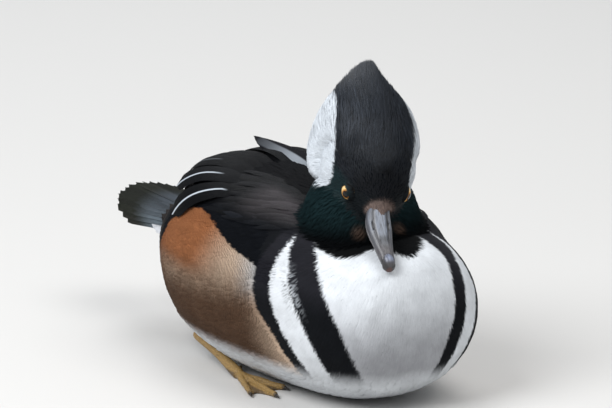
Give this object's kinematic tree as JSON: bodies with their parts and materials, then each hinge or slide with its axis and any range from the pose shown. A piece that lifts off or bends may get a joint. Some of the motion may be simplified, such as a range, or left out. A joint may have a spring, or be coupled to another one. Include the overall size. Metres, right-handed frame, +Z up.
{
  "type": "hooded merganser model",
  "caption": "Life-size still model of a drake hooded merganser resting on its belly, head bowed and turned, crest raised.",
  "frame": {"origin": "middle of the flat under the belly, on the plane that the bird rests on", "axes": "-Y towards the breast, +X towards the bird's left side, +Z up"},
  "size_m": [0.1254, 0.2958, 0.1837],
  "materials": {
    "black_plumage": "soft short feathers",
    "crest_plumage": "long fine feathers, black with white sides",
    "white_plumage": "soft dense feathers, white breast and chestnut flanks",
    "wing_plumage": "smooth flight feathers with white stripes",
    "tail_plumage": "stiff feathers",
    "bill_horn": "smooth horn",
    "eye_amber": "polished, dark pupil",
    "foot_skin": "leathery skin"
  },
  "bodies": {
    "root": {"head": "black_plumage", "eye_right": "eye_amber", "eye_left": "eye_amber", "bill_upper": "bill_horn", "bill_lower": "bill_horn", "crest": "crest_plumage", "neck": "black_plumage", "torso": "white_plumage", "wing_right": "wing_plumage", "wing_left": "wing_plumage", "tail": "tail_plumage", "leg_right": "foot_skin", "leg_left": "foot_skin"}
  },
  "joints": []
}
